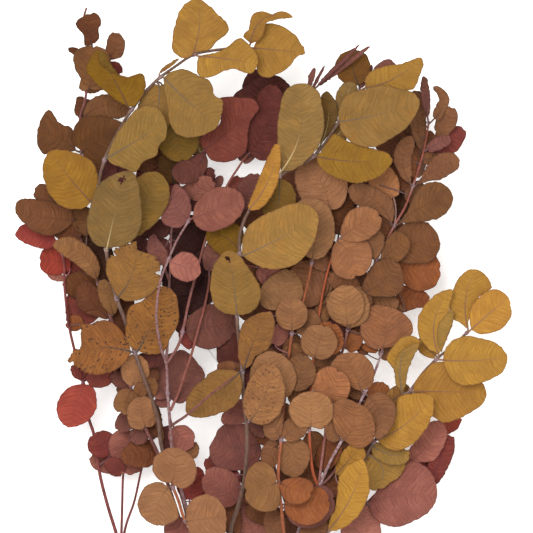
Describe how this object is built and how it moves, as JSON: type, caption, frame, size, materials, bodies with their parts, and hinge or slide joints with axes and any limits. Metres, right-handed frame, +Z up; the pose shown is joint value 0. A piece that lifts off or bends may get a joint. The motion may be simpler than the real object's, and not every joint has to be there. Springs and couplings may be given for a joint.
{
  "type": "bunch of dried eucalyptus",
  "caption": "Bunch of dried and preserved eucalyptus branches with round and oval leaves, lying down, held by a rubber band round the bare lower stems.",
  "frame": {"origin": "on the surface the bunch lies on, under the middle of its bounding box", "axes": "+Y along the bunch from the cut ends to the leafy tips, +Z up off the surface"},
  "size_m": [0.372, 0.6398, 0.0903],
  "materials": {
    "band": "plain tan rubber",
    "grey_bark": "thin grey-brown bark",
    "pink_bark": "thin pink-brown bark with a whitish bloom",
    "orange_bark": "thin orange-brown bark",
    "red_bark": "thin red-brown bark",
    "mauve_bark": "thin mauve-brown bark",
    "golden": "dried leaf, matt golden yellow",
    "olive": "dried leaf, matt olive yellow",
    "drab": "dried leaf, matt drab olive",
    "mustard": "dried leaf, matt mustard",
    "spotted": "dried leaf, ochre with fine dark spots",
    "brown": "dried leaf, matt brown",
    "tan": "dried leaf, matt tan",
    "rose": "dried leaf, matt rose",
    "burgundy": "dried leaf, matt burgundy",
    "mauve": "dried leaf, matt mauve brown",
    "red": "dried leaf, matt red"
  },
  "bodies": {
    "root": {"rubber_band": "band", "olive_left_stem": "grey_bark", "olive_centre_stem": "grey_bark", "golden_right_stem": "grey_bark", "brown_stem": "pink_bark", "orange_stem": "orange_bark", "burgundy_stem": "pink_bark", "red_left_stem": "red_bark", "brown_left_stem": "pink_bark", "tan_stem": "orange_bark", "rose_right_stem": "red_bark", "burgundy_low_stem": "mauve_bark", "olive_left_tip_leaves": "golden", "olive_left_top_leaves": "golden", "olive_left_broad_leaves": "olive", "olive_left_folded_leaves": "golden", "olive_left_wide_leaves": "olive", "olive_left_golden_leaves": "golden", "olive_left_middle_leaves": "drab", "olive_left_ragged_leaves": "mustard", "olive_left_spotted_leaves": "spotted", "olive_centre_tip_leaves": "drab", "olive_centre_broad_leaves": "olive", "olive_centre_long_leaves": "golden", "olive_centre_tall_leaves": "drab", "olive_centre_wide_leaves": "olive", "olive_centre_pale_leaves": "olive", "olive_centre_low_leaves": "mustard", "golden_right_tip_leaves": "golden", "golden_right_upper_leaves": "golden", "golden_right_middle_leaves": "golden", "golden_right_lower_leaves": "golden", "golden_right_front_leaves": "golden", "brown_upper_leaves": "brown", "brown_fourth_leaves": "brown", "brown_third_leaves": "brown", "brown_low_tip_leaves": "brown", "brown_low_upper_leaves": "brown", "brown_low_discs_leaves": "brown", "brown_middle_low_leaves": "tan", "brown_stack_leaves": "tan", "orange_upper_leaves": "tan", "orange_discs_leaves": "tan", "orange_big_leaves": "tan", "orange_hanging_leaves": "brown", "burgundy_rose_oval_leaves": "rose", "burgundy_rose_disc_leaves": "rose", "burgundy_broad_leaves": "burgundy", "burgundy_middle_leaves": "mauve", "burgundy_wide_leaves": "mauve", "red_left_top_leaves": "red", "red_left_low_leaves": "red", "brown_left_broad_leaves": "brown", "brown_left_long_leaves": "brown", "brown_left_tan_leaves": "tan", "tan_upper_leaves": "tan", "tan_low_leaves": "tan", "rose_right_big_leaves": "rose", "rose_right_tip_leaves": "rose", "burgundy_low_big_leaves": "mauve"}
  },
  "joints": []
}
